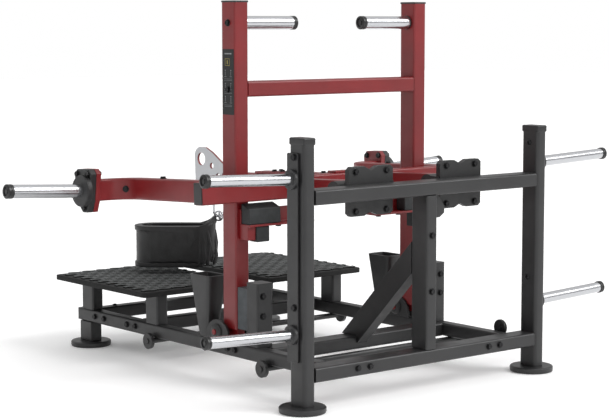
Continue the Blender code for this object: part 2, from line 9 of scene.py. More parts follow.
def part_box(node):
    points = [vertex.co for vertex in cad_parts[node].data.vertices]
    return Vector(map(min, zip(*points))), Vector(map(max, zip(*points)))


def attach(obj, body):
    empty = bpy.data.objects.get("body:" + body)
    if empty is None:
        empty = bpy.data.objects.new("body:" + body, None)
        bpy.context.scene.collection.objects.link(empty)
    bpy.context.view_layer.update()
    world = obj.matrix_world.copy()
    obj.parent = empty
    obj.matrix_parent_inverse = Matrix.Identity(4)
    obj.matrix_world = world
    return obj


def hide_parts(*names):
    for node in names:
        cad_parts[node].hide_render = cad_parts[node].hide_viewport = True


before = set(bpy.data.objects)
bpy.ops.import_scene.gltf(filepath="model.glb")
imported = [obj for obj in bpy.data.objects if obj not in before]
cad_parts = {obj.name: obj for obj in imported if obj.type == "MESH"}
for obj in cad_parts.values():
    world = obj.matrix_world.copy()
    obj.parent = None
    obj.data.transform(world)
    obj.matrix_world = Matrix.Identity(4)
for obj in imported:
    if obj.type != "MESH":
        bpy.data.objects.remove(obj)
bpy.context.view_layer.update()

# Directions and sides
REARWARD = Vector((0, -1, 0))
FORWARD = Vector((0, 1, 0))
UPWARD = Vector((0, 0, 1))
DOWNWARD = Vector((0, 0, -1))
SIDES = (("left", -1), ("right", 1))

# Where the machine's own centre lines are
REAR = (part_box("rear_upright_left")[0].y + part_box("rear_upright_left")[1].y) / 2
ARM_HEIGHT = 0.717
ARM_PIVOT = Vector((0, REAR + 0.100, ARM_HEIGHT))
ARM_TILT = math.radians(-2.6)
STORAGE_RISE = 0.040
LOAD_HORN_RISE = 0.018
LOAD_HORN_Y = REAR + 1.040
PIVOT_BLOCK_X = 0.213
RAIL_BOLT_HEIGHT = 0.127

# The side beams: their straight run, and the bend that turns them outwards
SIDE_BEAM_X = 0.550
BEAM_HALF_NARROW = 0.025
BEND_RADIUS = 0.105
BEND_CENTRE_X = SIDE_BEAM_X + BEND_RADIUS
BEND_START_Y = REAR + 0.935
BEND_BOLT_ANGLE = math.radians(38)

# The pins that the release frame turns on,
RELEASE_PIN_Y = REAR + 0.575
RELEASE_PIN_Z = 0.185

# The belt's loop, seen from above, and its lowest and highest edges
BELT_MIDDLE = Vector((-0.130, REAR + 1.320, 0))
BELT_ALONG = Vector((0.774, -0.633, 0))
BELT_ACROSS = Vector((0.633, 0.774, 0))
BELT_LOW = 0.316
BELT_HIGH = 0.480

# Fastener sizes: M10 hex heads on plain washers
HEAD_RADIUS = 0.0102
HEAD_HEIGHT = 0.0064
WASHER_RADIUS = 0.0125
WASHER_HEIGHT = 0.0020

# Edge sizes
SOFT_EDGE = 0.0014
SMOOTH_ANGLE = math.radians(38)


# ---------------------------------------------------------------- materials

def linear(code):
    """The linear RGBA colour of an sRGB hex code."""
    parts = [int(code[i:i + 2], 16) / 255 for i in (1, 3, 5)]
    return [p / 12.92 if p <= 0.04045 else ((p + 0.055) / 1.055) ** 2.4 for p in parts] + [1.0]


def add_node(material, kind, settings=None, links=None):
    """Add a shader node; settings and links are given by input name, input number or attribute."""
    made = material.node_tree.nodes.new(kind)
    for name, value in (settings or {}).items():
        if isinstance(name, int) or name in made.inputs:
            made.inputs[name].default_value = value
        else:
            setattr(made, name, value)
    for name, socket in (links or {}).items():
        material.node_tree.links.new(socket, made.inputs[name])
    return made


def new_material(name, settings):
    """Start a material whose one Principled shader has these settings."""
    material = bpy.data.materials.new(name)
    material.use_nodes = True
    shader = material.node_tree.nodes["Principled BSDF"]
    for key, value in settings.items():
        shader.inputs[key].default_value = value
    place = add_node(material, "ShaderNodeTexCoord").outputs["Object"]
    return material, shader, place


def tinted(material, place, low, high, size, detail=3.0):
    """A slow drift between two colours over patches of that size in metres."""
    noise = add_node(material, "ShaderNodeTexNoise", {"Scale": 1 / size, "Detail": detail}, {"Vector": place})
    ramp = add_node(material, "ShaderNodeValToRGB", links={"Fac": noise.outputs["Fac"]})
    ramp.color_ramp.elements[0].position = 0.35
    ramp.color_ramp.elements[0].color = linear(low)
    ramp.color_ramp.elements[1].position = 0.68
    ramp.color_ramp.elements[1].color = linear(high)
    return ramp.outputs["Color"]


def spread(material, source, low, high):
    """Map a 0 to 1 pattern on to a range."""
    settings = {"From Min": 0.3, "From Max": 0.7, "To Min": low, "To Max": high}
    return add_node(material, "ShaderNodeMapRange", settings, {"Value": source}).outputs["Result"]


def powder_coat(name, low, high, rough, grain=0.0016, depth=0.00012):
    """Baked polyester powder on steel: an even satin colour with fine orange peel and faint patches."""
    material, shader, place = new_material(name, {"IOR": 1.5, "Coat Weight": 0.12, "Coat Roughness": 0.32})
    link = material.node_tree.links.new
    link(tinted(material, place, low, high, 0.16), shader.inputs["Base Color"])
    peel = add_node(material, "ShaderNodeTexNoise", {"Scale": 1 / grain, "Detail": 2.0}, {"Vector": place})
    broad = add_node(material, "ShaderNodeTexNoise", {"Scale": 1 / 0.045, "Detail": 4.0}, {"Vector": place})
    link(spread(material, broad.outputs["Fac"], rough - 0.05, rough + 0.06), shader.inputs["Roughness"])
    bump = add_node(material, "ShaderNodeBump", {"Strength": 0.35, "Distance": depth},
                    {"Height": peel.outputs["Fac"]})
    link(bump.outputs["Normal"], shader.inputs["Normal"])
    return material


def polished_chrome(name, colour, rough, streak=0.004):
    """Hard chrome on turned steel: a bright mirror, broken by fine lengthwise handling marks."""
    material, shader, place = new_material(name, {"Base Color": linear(colour), "Metallic": 1.0})
    link = material.node_tree.links.new
    stretched = add_node(material, "ShaderNodeMapping", {"Scale": (6.0, 1 / streak, 1 / streak)},
                         {"Vector": place})
    marks = add_node(material, "ShaderNodeTexNoise", {"Scale": 1.0, "Detail": 3.0},
                     {"Vector": stretched.outputs["Vector"]})
    link(spread(material, marks.outputs["Fac"], rough - 0.05, rough + 0.07), shader.inputs["Roughness"])
    bump = add_node(material, "ShaderNodeBump", {"Strength": 0.08, "Distance": 0.0001},
                    {"Height": marks.outputs["Fac"]})
    link(bump.outputs["Normal"], shader.inputs["Normal"])
    return material


def black_oxide(name, low, high):
    """Black oxide on steel fasteners: dark dull metal with cloudy patches of a few millimetres."""
    material, shader, place = new_material(name, {"Metallic": 0.85})
    link = material.node_tree.links.new
    link(tinted(material, place, low, high, 0.006), shader.inputs["Base Color"])
    cloud = add_node(material, "ShaderNodeTexNoise", {"Scale": 1 / 0.003, "Detail": 3.0}, {"Vector": place})
    link(spread(material, cloud.outputs["Fac"], 0.30, 0.48), shader.inputs["Roughness"])
    return material


def moulded_rubber(name, low, high, rough=0.72):
    """Moulded nitrile rubber: matt, with a dusty bloom and a fine pitted skin."""
    material, shader, place = new_material(name, {"IOR": 1.52, "Specular IOR Level": 0.35})
    link = material.node_tree.links.new
    link(tinted(material, place, low, high, 0.03, 6.0), shader.inputs["Base Color"])
    pits = add_node(material, "ShaderNodeTexNoise", {"Scale": 1 / 0.0022, "Detail": 4.0}, {"Vector": place})
    link(spread(material, pits.outputs["Fac"], rough - 0.08, rough + 0.10), shader.inputs["Roughness"])
    bump = add_node(material, "ShaderNodeBump", {"Strength": 0.45, "Distance": 0.0003},
                    {"Height": pits.outputs["Fac"]})
    link(bump.outputs["Normal"], shader.inputs["Normal"])
    return material


def moulded_plastic(name, low, high, rough):
    """Injection-moulded nylon: smooth, semi-gloss, with a light spark-eroded grain."""
    material, shader, place = new_material(name, {"IOR": 1.49})
    link = material.node_tree.links.new
    link(tinted(material, place, low, high, 0.02), shader.inputs["Base Color"])
    grain = add_node(material, "ShaderNodeTexVoronoi", {"Scale": 1 / 0.0012}, {"Vector": place})
    link(spread(material, grain.outputs["Distance"], rough - 0.04, rough + 0.05), shader.inputs["Roughness"])
    bump = add_node(material, "ShaderNodeBump", {"Strength": 0.15, "Distance": 0.0001},
                    {"Height": grain.outputs["Distance"]})
    link(bump.outputs["Normal"], shader.inputs["Normal"])
    return material


def grained_leather(name, low, high):
    """Embossed black leather: pebbles about 3 mm across with dark valleys and a soft waxed sheen."""
    material, shader, place = new_material(name, {"IOR": 1.48, "Sheen Weight": 0.12, "Sheen Roughness": 0.5})
    link = material.node_tree.links.new
    pebbles = add_node(material, "ShaderNodeTexVoronoi", {"Scale": 1 / 0.0032}, {"Vector": place})
    creases = add_node(material, "ShaderNodeTexNoise", {"Scale": 1 / 0.028, "Detail": 5.0, "Distortion": 0.6},
                       {"Vector": place})
    drift = tinted(material, place, low, high, 0.05, 5.0)
    valley = add_node(material, "ShaderNodeMapRange", {"From Max": 0.5, "To Min": 1.0, "To Max": 0.72},
                      {"Value": pebbles.outputs["Distance"]})
    shade = add_node(material, "ShaderNodeMix", {"data_type": "RGBA", "blend_type": "MULTIPLY", 0: 1.0},
                     {6: drift, 7: valley.outputs["Result"]})
    link(shade.outputs[2], shader.inputs["Base Color"])
    link(spread(material, creases.outputs["Fac"], 0.36, 0.52), shader.inputs["Roughness"])
    wrinkle = add_node(material, "ShaderNodeBump", {"Strength": 0.35, "Distance": 0.0015},
                       {"Height": creases.outputs["Fac"]})
    bump = add_node(material, "ShaderNodeBump", {"Strength": 0.5, "Distance": 0.0004, "invert": True},
                    {"Height": pebbles.outputs["Distance"], "Normal": wrinkle.outputs["Normal"]})
    link(bump.outputs["Normal"], shader.inputs["Normal"])
    return material


BLACK = powder_coat("black_powder_coated_steel", "#1a1a1b", "#212122", 0.44)
RED = powder_coat("red_powder_coated_steel", "#6d0d11", "#790f14", 0.40)
CAST = powder_coat("black_sand_cast_iron", "#141415", "#1b1b1c", 0.50, grain=0.0028, depth=0.00035)
CHROME = polished_chrome("chromed_steel_tube", "#bfc0c3", 0.22)
STEEL = polished_chrome("brushed_hook_plate_steel", "#b9babd", 0.38, streak=0.0015)
DARK_BOLT = black_oxide("black_oxide_fastener", "#242425", "#363637")
# Near-black rubber: painted shade for the grooves between the deck lugs, used on the deck base and on the
# lugs' sides.
TREAD = moulded_rubber("grey_tread_rubber", "#434545", "#565858")
TREAD_GROOVE_SHADE = moulded_rubber("tread_rubber_painted_groove_shade", "#0c0c0c", "#141414")
BUFFER = moulded_rubber("grey_buffer_rubber", "#3f4346", "#4b4f52", 0.60)
BLACK_RUBBER = moulded_rubber("black_rubber", "#232526", "#2e3031", 0.62)
CAP = moulded_plastic("black_nylon_cap", "#161617", "#1f1f20", 0.34)
RED_CAP = moulded_plastic("red_nylon_cap", "#6c1013", "#7c1417", 0.42)
LEATHER = grained_leather("black_grained_leather", "#0b0b0c", "#131314")
BINDING = moulded_plastic("black_vinyl_binding", "#101011", "#181819", 0.40)
THREAD = moulded_rubber("dark_grey_bonded_thread", "#262627", "#323233", 0.60)
PLACARD = moulded_plastic("black_printed_film", "#050506", "#09090a", 0.50)
PRINT = moulded_plastic("pale_screen_ink", "#6f7072", "#88898b", 0.50)
PRINT_YELLOW = moulded_plastic("ochre_screen_ink", "#857838", "#98893f", 0.50)


# ---------------------------------------------------------------- making pieces

def clear_selection():
    """Leave edit mode and deselect every object."""
    if bpy.context.object and bpy.context.object.mode != "OBJECT":
        bpy.ops.object.mode_set(mode="OBJECT")
    bpy.ops.object.select_all(action="DESELECT")


def pick(*pieces):
    """Select only these pieces; the first one is active."""
    clear_selection()
    for piece in pieces:
        piece.select_set(True)
    bpy.context.view_layer.objects.active = pieces[0]


def select_faces(piece, test):
    """Select the faces of a piece whose middle and normal pass a test, and enter edit mode."""
    pick(piece)
    bpy.ops.object.mode_set(mode="EDIT")
    bpy.ops.mesh.select_mode(type="FACE")
    bpy.ops.mesh.select_all(action="DESELECT")
    bpy.ops.object.mode_set(mode="OBJECT")
    for face in piece.data.polygons:
        face.select = bool(test(face.center, face.normal))
    bpy.ops.object.mode_set(mode="EDIT")


def modified(piece, kind, **settings):
    """Add one modifier with its settings and apply it."""
    pick(piece)
    modifier = piece.modifiers.new(kind.title(), kind)
    for name, value in settings.items():
        setattr(modifier, name, value)
    bpy.ops.object.modifier_apply(modifier=modifier.name)


def smooth(piece, angle=SMOOTH_ANGLE):
    """Shade round faces smooth, keep real edges, and let the large flats set the normals."""
    pick(piece)
    bpy.ops.object.shade_smooth_by_angle(angle=angle)
    modified(piece, "WEIGHTED_NORMAL", keep_sharp=True, weight=50)


def rounded(piece, width, segments=2, angle=math.radians(35)):
    """Round every sharp edge by a width in metres."""
    modified(piece, "BEVEL", width=width, segments=segments, limit_method="ANGLE", angle_limit=angle)


def joined(name, pieces):
    """Join pieces into one, with its origin in the middle of the machine."""
    pick(*pieces)
    if len(pieces) > 1:
        bpy.ops.object.join()
    whole = bpy.context.object
    whole.name = name
    whole.data.name = name
    bpy.ops.object.transform_apply(location=True, rotation=True, scale=True)
    return whole


def finished(piece, body, slot, *materials, replaces=()):
    """Give a piece its materials and its body; it may stand for CAD nodes. The slot argument is not used."""
    if materials:
        piece.data.materials.clear()
        for material in materials:
            piece.data.materials.append(material)
    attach(piece, body)
    for node in replaces:
        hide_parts(node)
    return piece


def copied(piece):
    """A copy with its own mesh."""
    twin = piece.copy()
    twin.data = piece.data.copy()
    bpy.context.scene.collection.objects.link(twin)
    return twin


def turned(name, profile, segments=48):
    """A turned piece along +Z from (radius, height) steps, lowest first."""
    clear_selection()
    radius, height = profile[0]
    bpy.ops.mesh.primitive_circle_add(vertices=segments, radius=radius, fill_type="NGON",
                                      location=(0, 0, height))
    piece = bpy.context.object
    piece.name = name
    bpy.ops.object.transform_apply(location=True, rotation=True, scale=True)
    bpy.ops.object.mode_set(mode="EDIT")
    bpy.ops.mesh.select_all(action="SELECT")
    for next_radius, next_height in profile[1:]:
        step = (0, 0, next_height - height)
        bpy.ops.mesh.extrude_region_move(TRANSFORM_OT_translate={"value": step})
        if next_radius != radius:
            scale = next_radius / radius
            bpy.ops.transform.resize(value=(scale, scale, 1), center_override=(0, 0, next_height))
        radius, height = next_radius, next_height
    bpy.ops.mesh.select_all(action="SELECT")
    bpy.ops.mesh.normals_make_consistent(inside=False)
    bpy.ops.object.mode_set(mode="OBJECT")
    return piece


def aimed(piece, place, direction, spin=0.0):
    """Turn a piece's +Z towards a direction and put its origin at a place."""
    turn = direction.to_track_quat("Z", "Y").to_matrix().to_4x4()
    piece.matrix_world = Matrix.Translation(place) @ turn @ Matrix.Rotation(spin, 4, "Z")
    pick(piece)
    bpy.ops.object.transform_apply(location=True, rotation=True, scale=True)
    return piece


def tipped(piece):
    """Tip a piece drawn level on the lever arm about the arm's pivot."""
    turn = Matrix.Rotation(ARM_TILT, 4, "X")
    piece.matrix_world = Matrix.Translation(ARM_PIVOT) @ turn @ Matrix.Translation(-ARM_PIVOT)
    pick(piece)
    bpy.ops.object.transform_apply(location=True, rotation=True, scale=True)
    return piece


def block(name, low, high, edge=0.002, segments=3):
    """A box between two corners with every edge rounded."""
    clear_selection()
    low, high = Vector(low), Vector(high)
    bpy.ops.mesh.primitive_cube_add(size=1, location=(low + high) / 2)
    piece = bpy.context.object
    piece.name = name
    piece.scale = [abs(v) for v in high - low]
    bpy.ops.object.transform_apply(location=True, rotation=True, scale=True)
    modified(piece, "BEVEL", width=edge, segments=segments, limit_method="NONE")
    return piece


def softened(node, body, slot, material, edge=SOFT_EDGE):
    """A merged copy of a CAD node with rounded edges, which stands for the node."""
    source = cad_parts[node]
    piece = copied(source)
    piece.name = node + "_finish"
    piece.parent = None
    for key in list(piece.keys()):
        del piece[key]
    pick(piece)
    bpy.ops.object.mode_set(mode="EDIT")
    bpy.ops.mesh.select_all(action="SELECT")
    bpy.ops.mesh.remove_doubles(threshold=0.00002)
    bpy.ops.mesh.dissolve_limited(angle_limit=math.radians(0.8))
    bpy.ops.object.mode_set(mode="OBJECT")
    rounded(piece, edge)
    smooth(piece)
    return finished(piece, body, slot, material, replaces=[node])


# ---------------------------------------------------------------- fasteners

def hex_bolt(size=1.0):
    """A hex head on a washer, standing on z = 0 and pointing up."""
    washer = turned("washer", [(WASHER_RADIUS * size, -0.0004), (WASHER_RADIUS * size, WASHER_HEIGHT * 0.8),
                               (WASHER_RADIUS * 0.95 * size, WASHER_HEIGHT)], 20)
    radius = HEAD_RADIUS * size
    top = WASHER_HEIGHT + HEAD_HEIGHT * size
    head = turned("head", [(radius, WASHER_HEIGHT - 0.0002), (radius, top - 0.0012),
                           (radius * 0.90, top), (radius * 0.55, top), (radius * 0.50, top - 0.0006)], 6)
    return joined("bolt", [washer, head])


def button_bolt(size=1.0):
    """A domed socket head on z = 0, with its socket sunk in."""
    radius = HEAD_RADIUS * size
    profile = [(radius, -0.0004), (radius, 0.0014), (radius * 0.92, 0.0032), (radius * 0.74, 0.0048),
               (radius * 0.48, 0.0056), (radius * 0.42, 0.0056), (radius * 0.40, 0.0026)]
    return turned("bolt", profile, 18)


def bolt_group(name, master, spots, body, material, tip=False):
    """Copies of one bolt at (place, direction) spots, joined as one piece."""
    copies = []
    for number, (place, direction) in enumerate(spots):
        copies.append(aimed(copied(master), Vector(place), direction, 0.4 * number))
    bpy.data.objects.remove(master)
    group = joined(name, copies)
    if tip:
        tipped(group)
    smooth(group, math.radians(30))
    return finished(group, body, "bare_steel", material)


# ---------------------------------------------------------------- frame

def build_frame_tubes():
    """Rounded copies of the welded black frame."""
    plain = ["rear_top_bar", "rear_bottom_bar", "centre_post", "centre_brace", "mid_cross_bar",
             "deck_cross_bar", "front_cross_bar", "band_rod_rear", "band_rod_front"]
    for side, _ in SIDES:
        plain += [f"rear_upright_{side}", f"side_rail_{side}", f"storage_strip_{side}",
                  f"deck_post_rear_{side}", f"deck_post_front_{side}", f"cup_holder_{side}"]
        softened(f"pivot_block_{side}", "frame", "cast_black", CAST, 0.0022)
        softened(f"hinge_bracket_{side}", "frame", "cast_black", CAST)
    for node in plain:
        piece = softened(node, "frame", "black_paint", BLACK)
        # The strips' side, top and bottom faces take the darker cap black: painted shade for the dark gap
        # between strip and upright.
        if node.startswith("storage_strip"):
            piece.data.materials.append(CAP)
            for face in piece.data.polygons:
                if abs(face.normal.x) < 0.7:
                    face.material_index = 1


def build_stop_posts():
    """Stop posts with their grey rubber buffers on the front face."""
    for side, _ in SIDES:
        post = softened(f"stop_post_{side}", "frame", "black_paint", BLACK)
        post.data.materials.append(BUFFER)
        front = REAR + 0.4345
        for face in post.data.polygons:
            if face.center.y > front and face.center.z > 0.19:
                face.material_index = 1


def foot_disc():
    """A levelling foot: rubber sole, black rim with a wide chamfer, and a raised boss."""
    return turned("foot", [(0.074, 0.0), (0.0785, 0.0015), (0.0785, 0.0055), (0.080, 0.0062),
                           (0.080, 0.0175), (0.0765, 0.0212), (0.072, 0.0220), (0.056, 0.0222)], 64)


def build_feet():
    """Round feet under the rear uprights and the front corners."""
    for side, _ in SIDES:
        for end in ("rear", "front"):
            node = f"{end}_foot_{side}"
            low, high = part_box(node)
            middle = (low + high) / 2
            disc = aimed(foot_disc(), Vector((middle.x, middle.y, 0)), UPWARD)
            parts = [disc]
            if end == "front":
                stem = block("stem", (middle.x - 0.025, middle.y - 0.040, 0.0218),
                             (middle.x + 0.025, middle.y + 0.040, high.z), 0.003)
                parts.append(stem)
            foot = joined(f"{end}_foot_{side}_turned", parts)
            smooth(foot)
            finished(foot, "frame", "black_paint", BLACK, replaces=[node])


def horn_with_cap(name, start, direction, length, radius, collar, cap):
    """A chromed sleeve with a dark collar plate and a ringed end cap, as three pieces' meshes."""
    shaft = turned("shaft", [(radius * 0.9, 0.001), (radius, 0.002), (radius, length - cap[1]),
                             (radius * 0.9, length - cap[1] + 0.0005)], 56)
    ring = turned("collar", [(collar[0] - 0.001, 0.0003), (collar[0], 0.0013),
                             (collar[0], collar[1] - 0.003), (collar[0] - 0.003, collar[1]),
                             (radius + 0.002, collar[1] + 0.0002), (radius + 0.0002, collar[1] + 0.002)], 56)
    end = length
    lid = turned("cap", [(cap[0] - 0.001, end - cap[1] - 0.0002), (cap[0], end - cap[1] + 0.0008),
                         (cap[0], end - cap[1] * 0.62), (cap[0] - 0.0014, end - cap[1] * 0.56),
                         (cap[0] - 0.0014, end - cap[1] * 0.46), (cap[0], end - cap[1] * 0.40),
                         (cap[0], end - 0.003), (cap[0] - 0.003, end - 0.0004), (cap[0] * 0.66, end),
                         (cap[0] * 0.60, end - 0.0045), (cap[0] * 0.36, end - 0.0045),
                         (cap[0] * 0.32, end - 0.0020)], 56)
    for piece, label in ((shaft, "sleeve"), (ring, "collar"), (lid, "cap")):
        aimed(piece, start, direction)
        piece.name = f"{name}_{label}"
        piece.data.name = piece.name
    return shaft, ring, lid


def finish_horn(pieces, node, body, collar_slot, collar_material, tip=False):
    """Smooth a horn's sleeve, collar and cap, and hand them over in place of their node."""
    sleeve, collar, cap = pieces
    for piece in pieces:
        if tip:
            tipped(piece)
        smooth(piece)
    finished(sleeve, body, "chrome", CHROME, replaces=[node])
    finished(collar, body, collar_slot, collar_material)
    finished(cap, body, "black_paint", CAP)


def build_storage_horns():
    """Four plate storage horns outside the rear uprights."""
    for side, sign in SIDES:
        for level in ("lower", "upper"):
            node = f"storage_horn_{level}_{side}"
            low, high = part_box(node)
            inner = low.x if sign > 0 else high.x
            length = high.x - low.x
            base_z = low.z + 0.033
            middle_y = (low.y + high.y) / 2
            direction = Vector((sign, 0, STORAGE_RISE)).normalized()
            pieces = horn_with_cap(node, Vector((inner, middle_y, base_z)), direction,
                                   length, 0.0195, (0.033, 0.014), (0.0225, 0.018))
            finish_horn(pieces, node, "frame", "black_paint", BLACK)


def build_frame_bolts():
    """Bolts on the frame's bars, strips, rails and pivot blocks."""
    hexes, buttons = [], []
    rear_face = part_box("rear_bottom_bar")[0].y
    post_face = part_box("centre_post")[0].y
    stop_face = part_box("stop_post_left")[0].y
    for sign in (-1, 1):
        outward = Vector((sign, 0, 0))
        for x in (0.285, 0.340):
            hexes.append(((sign * x, rear_face, 0.128), REARWARD))
        for z in (0.333, 0.262):
            hexes.append(((sign * 0.430, stop_face, z), REARWARD))
        for y in (1.417, 1.351, 1.187, 1.131, 0.536, 0.492):
            hexes.append(((sign * 0.460, REAR + y, RAIL_BOLT_HEIGHT), outward))
        for z in (0.852, 0.354):
            hexes.append(((sign * 0.5833, REAR + 0.002, z), outward))
            buttons.append(((sign * 0.525, REAR + 0.002, z), -outward))
        for x in (0.320, 0.160):
            buttons.append(((sign * x, REAR + 1.487, 0.150), UPWARD))
        for x in (-0.070, 0.070):
            for z in (-0.068, 0.068):
                hexes.append(((sign * PIVOT_BLOCK_X + x, REAR + 0.0403, ARM_HEIGHT + z), REARWARD))
                hexes.append(((sign * PIVOT_BLOCK_X + x, REAR + 0.0603, ARM_HEIGHT + z), FORWARD))
    for z in (0.553, 0.356):
        hexes.append(((0, post_face, z), REARWARD))
    bolt_group("frame_hex_bolts", hex_bolt(), hexes, "frame", DARK_BOLT)
    bolt_group("frame_button_bolts", button_bolt(), buttons, "frame", DARK_BOLT)


def build_rail_knobs():
    """Round black knobs on the rails' outer faces, close behind the rear uprights."""
    profile = [(0.010, -0.0004), (0.010, 0.004), (0.028, 0.005), (0.030, 0.008), (0.030, 0.015),
               (0.028, 0.018), (0.012, 0.019), (0.010, 0.0175)]
    for side, sign in SIDES:
        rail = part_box(f"side_rail_{side}")[0 if sign < 0 else 1].x
        knob = aimed(turned(f"rail_knob_{side}", profile, 40), Vector((rail, REAR + 0.085, 0.160)),
                     Vector((sign, 0, 0)))
        smooth(knob)
        finished(knob, "frame", "black_paint", CAP)


def build_rail_caps():
    """Nylon caps closing the rails' open ends and the tops of the rear uprights."""
    for side, _ in SIDES:
        low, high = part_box(f"rear_upright_{side}")
        lid = block(f"rear_upright_cap_{side}", (low.x - 0.0003, REAR - 0.0403, high.z - 0.018),
                    (high.x + 0.0003, REAR + 0.0403, high.z + 0.0065), 0.0050)
        smooth(lid)
        finished(lid, "frame", "black_paint", CAP)
        low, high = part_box(f"side_rail_{side}")
        cap = block(f"rail_cap_{side}", (low.x + 0.001, high.y - 0.001, low.z + 0.001),
                    (high.x - 0.001, high.y + 0.004, high.z - 0.001), 0.0022)
        smooth(cap)
        finished(cap, "frame", "black_paint", CAP)


# ---------------------------------------------------------------- foot decks

def tread_lug(length, width, height):
    """One wavy tread lug, drawn along X on z = 0 from short extruded steps."""
    clear_selection()
    steps = 6
    bpy.ops.mesh.primitive_plane_add(size=1, rotation=(0, math.pi / 2, 0),
                                     location=(-length / 2, 0, height / 2))
    lug = bpy.context.object
    lug.scale = (height, width, 1)
    bpy.ops.object.transform_apply(location=True, rotation=True, scale=True)
    bpy.ops.object.mode_set(mode="EDIT")
    bpy.ops.mesh.select_all(action="SELECT")
    wave = 0.0066
    before = 0.0
    for step in range(1, steps + 1):
        here = wave * math.sin(math.tau * step / steps)
        bpy.ops.mesh.extrude_region_move(
            TRANSFORM_OT_translate={"value": (length / steps, here - before, 0)})
        before = here
    bpy.ops.mesh.select_all(action="SELECT")
    bpy.ops.mesh.normals_make_consistent(inside=False)
    bpy.ops.object.mode_set(mode="OBJECT")
    rounded(lug, 0.0012, 1, math.radians(60))
    return lug


def build_decks():
    """Foot decks: a base in near-black rubber as painted shade for the grooves, with rows of wavy lugs,
    staggered row by row.
    """
    pitch_x, pitch_y = 0.066, 0.0300
    length, width, height = 0.0600, 0.0215, 0.0060
    master = tread_lug(length, width, height)
    for side, _ in SIDES:
        node = f"foot_deck_{side}"
        # The deck base under the lugs is painted near black as the shade down in the grooves.
        softened(node, "frame", "rubber", TREAD_GROOVE_SHADE, 0.003)
        low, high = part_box(node)
        lugs = []
        rows = int((high.y - low.y - 0.010) / pitch_y)
        first_y = (low.y + high.y) / 2 - (rows - 1) * pitch_y / 2
        for row in range(rows):
            shift = 0.5 * (row % 2)
            count = int((high.x - low.x - 0.010) / pitch_x - shift)
            first_x = (low.x + high.x) / 2 - (count - 1) * pitch_x / 2
            for column in range(count):
                lug = copied(master)
                lug.location = (first_x + column * pitch_x, first_y + row * pitch_y, high.z - 0.0004)
                lugs.append(lug)
        tread = joined(f"foot_deck_{side}_tread", lugs)
        smooth(tread, math.radians(30))
        finished(tread, "frame", "rubber", TREAD, TREAD_GROOVE_SHADE)
        # Lug tops keep the grey tread rubber; the lugs' sides get the near-black painted groove shade.
        for face in tread.data.polygons:
            face.material_index = 0 if face.normal.z > 0.3 else 1
    bpy.data.objects.remove(master)


# ---------------------------------------------------------------- release frame

def build_release_frame():
    """Red release frame with its grips, rests and fixings."""
    softened("release_crossbar", "release_frame", "red_paint", RED)
    for side, sign in SIDES:
        softened(f"release_upright_{side}", "release_frame", "red_paint", RED)
        softened(f"support_bracket_{side}", "release_frame", "red_paint", RED)
        softened(f"arm_rest_block_{side}", "release_frame", "rubber", BLACK_RUBBER, 0.004)
        low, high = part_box(f"release_upright_{side}")
        cap = block(f"upright_cap_{side}", (low.x - 0.0006, REAR + 0.4854, high.z - 0.001),
                    (high.x + 0.0006, REAR + 0.5666, high.z + 0.0065), 0.003)
        smooth(cap)
        finished(cap, "release_frame", "black_paint", CAP)
        build_grip(side, sign)
        build_pivot_caps(side, sign)
    build_release_bolts()


def build_grip(side, sign):
    """A chromed hand grip with a collar at the upright and a black end cap."""
    node = f"hand_grip_{side}"
    low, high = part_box(node)
    start = Vector((high.x if sign > 0 else low.x, (low.y + high.y) / 2, (low.z + high.z) / 2))
    pieces = horn_with_cap(node, start, Vector((-sign, 0, 0)), high.x - low.x, 0.0242,
                           (0.0250, 0.004), (0.0250, 0.020))
    finish_horn(pieces, node, "release_frame", "black_paint", CAP)


def build_pivot_caps(side, sign):
    """Cast bosses with small red caps on the ends of the pins that the release frame turns on."""
    low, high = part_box(f"hinge_bracket_{side}")
    boss_profile = [(0.0290, -0.0006), (0.0290, 0.0020), (0.0270, 0.0062), (0.0215, 0.0092),
                    (0.0130, 0.0104), (0.0112, 0.0098)]
    profile = [(0.0098, 0.0070), (0.0104, 0.0100), (0.0104, 0.0126), (0.0086, 0.0146), (0.004, 0.0152)]
    for name, face, direction in (("inner", low.x if sign > 0 else high.x, Vector((-sign, 0, 0))),
                                  ("outer", high.x if sign > 0 else low.x, Vector((sign, 0, 0)))):
        place = Vector((face, RELEASE_PIN_Y, RELEASE_PIN_Z))
        boss = aimed(turned(f"pin_boss_{name}_{side}", boss_profile, 36), place, direction)
        smooth(boss)
        finished(boss, "frame", "cast_black", CAST)
        cap = aimed(turned(f"pin_cap_{name}_{side}", profile, 28), place, direction)
        smooth(cap)
        finished(cap, "frame", "red_paint", RED_CAP)


def build_release_bolts():
    """Bolts at the grips, the brackets and the lower rubber blocks of the release frame."""
    hexes = []
    for side, sign in SIDES:
        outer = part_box(f"release_upright_{side}")[0 if sign < 0 else 1].x
        outward = Vector((sign, 0, 0))
        hexes.append(((outer, REAR + 0.526, 1.289), outward))
        hexes.append(((outer, REAR + 0.526, 1.055), outward))
        for x in (0.190, 0.290):
            hexes.append(((sign * x, REAR + 0.455, 0.572), DOWNWARD))
        pad = block(f"lower_rest_pad_{side}", (sign * 0.379 - 0.0285, REAR + 0.428, 0.516),
                    (sign * 0.379 + 0.0285, REAR + 0.474, 0.5718), 0.004)
        smooth(pad)
        finished(pad, "release_frame", "rubber", BLACK_RUBBER)
    bolt_group("release_bolts", hex_bolt(), hexes, "release_frame", DARK_BOLT)


